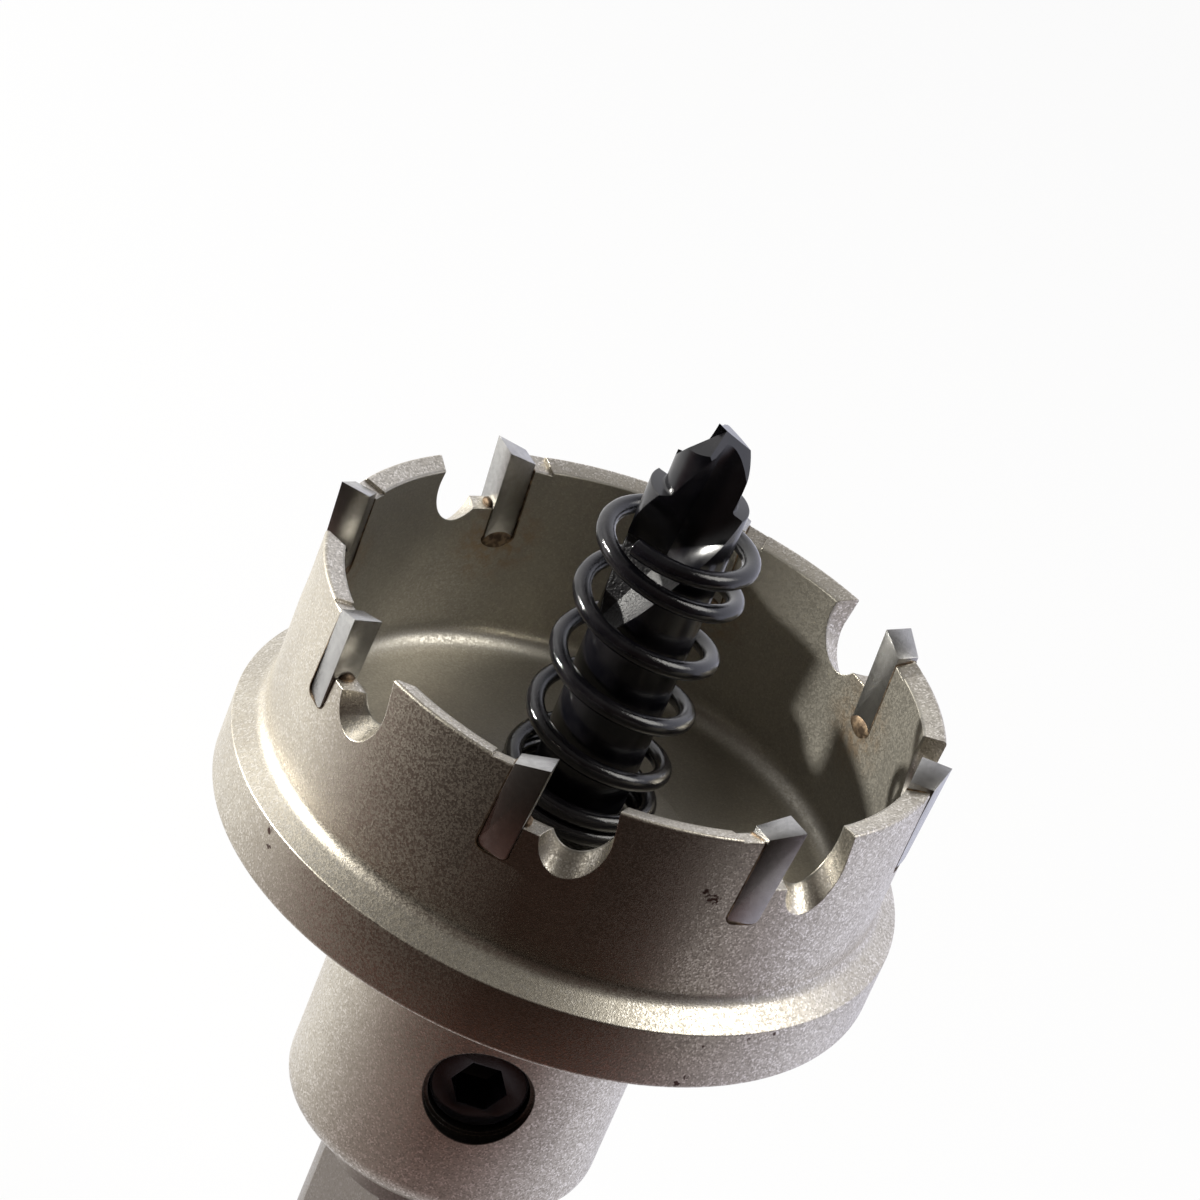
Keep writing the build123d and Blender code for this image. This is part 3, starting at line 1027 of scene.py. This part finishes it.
def black_oxide(name, rough_low, rough_high, grain_depth, index, has_flutes=False):
    """Blued steel, near black, with greasy smears. A drill's flutes run out in rough pits."""
    finish = Finish(name)
    place = finish.place()
    smears = finish.noise(place, 2.2, 3.0, 0.5)
    grain = finish.noise(place, 0.12, 2.0)
    colour = finish.blend(finish.span(smears, 0.35, 0.75), OXIDE_DARK, OXIDE_GREASY)
    finish.join(colour, finish.shader.inputs["Base Color"])
    rough = finish.span(smears, 0.3, 0.7, rough_low, rough_high)
    relief = finish.bump(grain, grain_depth)
    if has_flutes:
        coarse = flute_runout(finish, place)
        rough = finish.math("ADD", rough, finish.math("MULTIPLY", coarse, 0.25))
        pits = finish.math("MULTIPLY", finish.noise(place, 0.2, 2.0), coarse)
        relief = finish.bump(pits, RUNOUT_PIT_DEPTH, relief)
    finish.join(rough, finish.shader.inputs["Roughness"])
    finish.join(relief, finish.shader.inputs["Normal"])
    finish.set(Metallic=0.0, IOR=index)
    return finish.material


def flute_runout(finish, place):
    """1 in the rough run-outs of the flutes, 0 on the ground faces."""
    radius, height = finish.round_axis(place)
    base = DRILL_TIP_Z - FLUTE_LENGTH
    below = finish.span(height, (base + 0.4) * MM, (base - 0.2) * MM)
    within = finish.span(radius, (DRILL_RADIUS - 0.03) * MM, (DRILL_RADIUS - 0.10) * MM)
    return finish.math("MULTIPLY", below, within)


# Floor, lights and camera
# A pale patch painted on the floor, like a white card on the dark table: a painted reflection
# for the glow on the side of the front right tip
PAINTED_CARD_PLACE = (135.0, -68.0, 0.0)
PAINTED_CARD_REACH = 50.0
WARM_LIGHT = (1.0, 0.98, 0.92)

# What shines sees these: a brown table in front, painted as a reflection on the floor, a pale
# studio behind, dark air above
PAINTED_TABLE_NEAR = (0.014, 0.010, 0.008)
PAINTED_TABLE_FAR = (0.12, 0.048, 0.033)
PAINTED_CARD = (0.75, 0.75, 0.77)
PALE_LEFT = (0.95, 0.94, 0.93)
PALE_RIGHT = (0.88, 0.89, 1.05)
STUDIO_RIGHT = (0.86, 0.87, 1.0)
STUDIO_FRONT = (0.05, 0.035, 0.03)
STUDIO_TOP = (0.125, 0.118, 0.11)


def make_floor():
    """A pale floor. What shines sees it glow as a painted reflection: pale behind the tool and
    dark in front, as if a brown table began there, with a pale card patch."""
    deselect()
    bpy.ops.mesh.primitive_plane_add(size=6.0, location=(0, 0, 0))
    floor = bpy.context.object
    floor.name = "floor"
    finish = Finish("pale_floor")
    finish.set(Base_Color=(0.86, 0.86, 0.87, 1.0), Roughness=0.9)
    rays = finish.add("ShaderNodeLightPath")
    parts = finish.add("ShaderNodeSeparateXYZ")
    floor_place = finish.place()
    finish.join(floor_place, parts.inputs["Vector"])
    along_x, along_y = parts.outputs["X"], parts.outputs["Y"]
    # Painted reflections: only rays that shine off the tool see the floor glow, dark like a
    # table in front and pale behind, with a pale card patch
    table = finish.blend(finish.span(along_y, -0.13, -0.05), PAINTED_TABLE_NEAR, PAINTED_TABLE_FAR)
    pale = finish.blend(finish.span(along_x, -0.1, 0.1), PALE_LEFT, PALE_RIGHT)
    mirrored = finish.blend(finish.span(along_y, -0.08, 0.04), table, pale)
    near_painted_card = finish.span(finish.away_from(floor_place, PAINTED_CARD_PLACE), PAINTED_CARD_REACH * MM, 0.0)
    mirrored = finish.blend(near_painted_card, mirrored, PAINTED_CARD)
    colour = finish.blend(rays.outputs["Is Glossy Ray"], (1.0, 1.0, 1.0), mirrored)
    glow = finish.add("ShaderNodeEmission")
    finish.join(colour, glow.inputs["Color"])
    mix = finish.add("ShaderNodeMixShader")
    direct, through = rays.outputs["Is Camera Ray"], rays.outputs["Is Transmission Ray"]
    seen = finish.math("MAXIMUM", direct, through)
    seen = finish.math("MULTIPLY", seen, 0.9)
    seen = finish.math("MAXIMUM", seen, rays.outputs["Is Glossy Ray"])
    finish.join(seen, mix.inputs["Fac"])
    finish.join(finish.shader.outputs["BSDF"], mix.inputs[1])
    finish.join(glow.outputs["Emission"], mix.inputs[2])
    finish.join(mix.outputs["Shader"], finish.nodes["Material Output"].inputs["Surface"])
    floor.data.materials.append(finish.material)


def make_world():
    """White to the camera. To everything else the studio is pale behind and dark in front."""
    world = bpy.data.worlds.new("studio")
    bpy.context.scene.world = world
    finish = Finish("studio", world)
    parts = finish.add("ShaderNodeSeparateXYZ")
    finish.join(finish.add("ShaderNodeTexCoord").outputs["Generated"], parts.inputs["Vector"])
    along_x, along_y, along_z = (parts.outputs[axis] for axis in "XYZ")
    sides = finish.blend(finish.span(along_x, -0.8, 0.8), PALE_LEFT, STUDIO_RIGHT)
    around = finish.blend(finish.span(along_y, -0.6, 0.5), STUDIO_FRONT, sides)
    whole = finish.blend(finish.span(along_z, 0.55, 0.95), around, STUDIO_TOP)
    rays = finish.add("ShaderNodeLightPath")
    shown = finish.blend(rays.outputs["Is Camera Ray"], whole, (1.0, 1.0, 1.0))
    finish.join(shown, finish.nodes["Background"].inputs["Color"])


def make_lamp(name, place, size, power, colour=(1.0, 1.0, 1.0)):
    """A round lamp at a place in metres, aimed at the middle of the rim."""
    deselect()
    bpy.ops.object.light_add(type="AREA", location=place)
    lamp = bpy.context.object
    lamp.name = name
    lamp.data.shape = "DISK"
    lamp.data.size = size
    lamp.data.energy = power
    lamp.data.color = colour
    aim = Vector((0.0, 0.0, RIM_Z * MM)) - Vector(place)
    lamp.rotation_euler = aim.to_track_quat("-Z", "Y").to_euler()


# The camera that was fitted to the photo, in millimetres and degrees
CAMERA_PLACE = (0.0, -291.57, RIM_Z + 159.77)
CAMERA_TURN = 0.772
CAMERA_DROP = 28.482
CAMERA_ROLL = 22.66
CAMERA_LENS = 129.53


def make_camera():
    """The photo's camera."""
    deselect()
    bpy.ops.object.camera_add(location=Vector(CAMERA_PLACE) * MM)
    camera = bpy.context.object
    turn = Matrix.Rotation(math.radians(CAMERA_TURN), 3, "Z")
    tilt = Matrix.Rotation(math.radians(90 - CAMERA_DROP), 3, "X")
    roll = Matrix.Rotation(math.radians(CAMERA_ROLL), 3, "Z")
    camera.rotation_euler = (turn @ tilt @ roll).to_euler()
    camera.data.lens = CAMERA_LENS
    camera.data.sensor_width = 36.0
    camera.data.clip_start = 0.01
    bpy.context.scene.camera = camera


# Assembly
nickel = blasted_nickel()
carbide = ground_carbide()
brass = braze_brass()
drill_oxide = black_oxide("black_oxide_drill", 0.16, 0.24, 0.003, 1.55, has_flutes=True)
wire_oxide = black_oxide("black_oxide_wire", 0.05, 0.13, 0.016, 1.6)
screw_oxide = black_oxide("black_oxide_screw", 0.12, 0.24, 0.003, 1.6)

dress(make_body(), nickel, "body_steel", "cutter_body")

tip = make_tip()
seam = make_braze()
for number, azimuth in enumerate(TIP_AZIMUTHS, start=1):
    for piece, name in ((tip, "carbide_tip_ground"), (seam, "braze_seam")):
        copy = piece.copy()
        copy.data = piece.data.copy()
        bpy.context.scene.collection.objects.link(copy)
        copy.name = f"{name}_{number}"
        turn_about_z(copy, azimuth)
        if piece is tip:
            dress(copy, carbide, "carbide", f"carbide_tip_{number}")
        else:
            dress(copy, brass, "body_steel")
bpy.data.objects.remove(tip)
bpy.data.objects.remove(seam)

dress(make_drill(), drill_oxide, "black_steel", "pilot_drill")
dress(make_spring(), wire_oxide, "black_steel", "ejector_spring")
dress(make_screw(), screw_oxide, "black_steel", "set_screw")

make_floor()
make_world()
make_camera()
make_lamp("key", (-0.605, 0.0, 0.215), 0.025, 6.4, WARM_LIGHT)
make_lamp("left_softbox", (-0.398, 0.230, 0.467), 0.20, 0.04)
make_lamp("right_softbox", (0.402, 0.028, 0.522), 0.36, 1.4, WARM_LIGHT)

bpy.context.scene.view_settings.view_transform = "Standard"
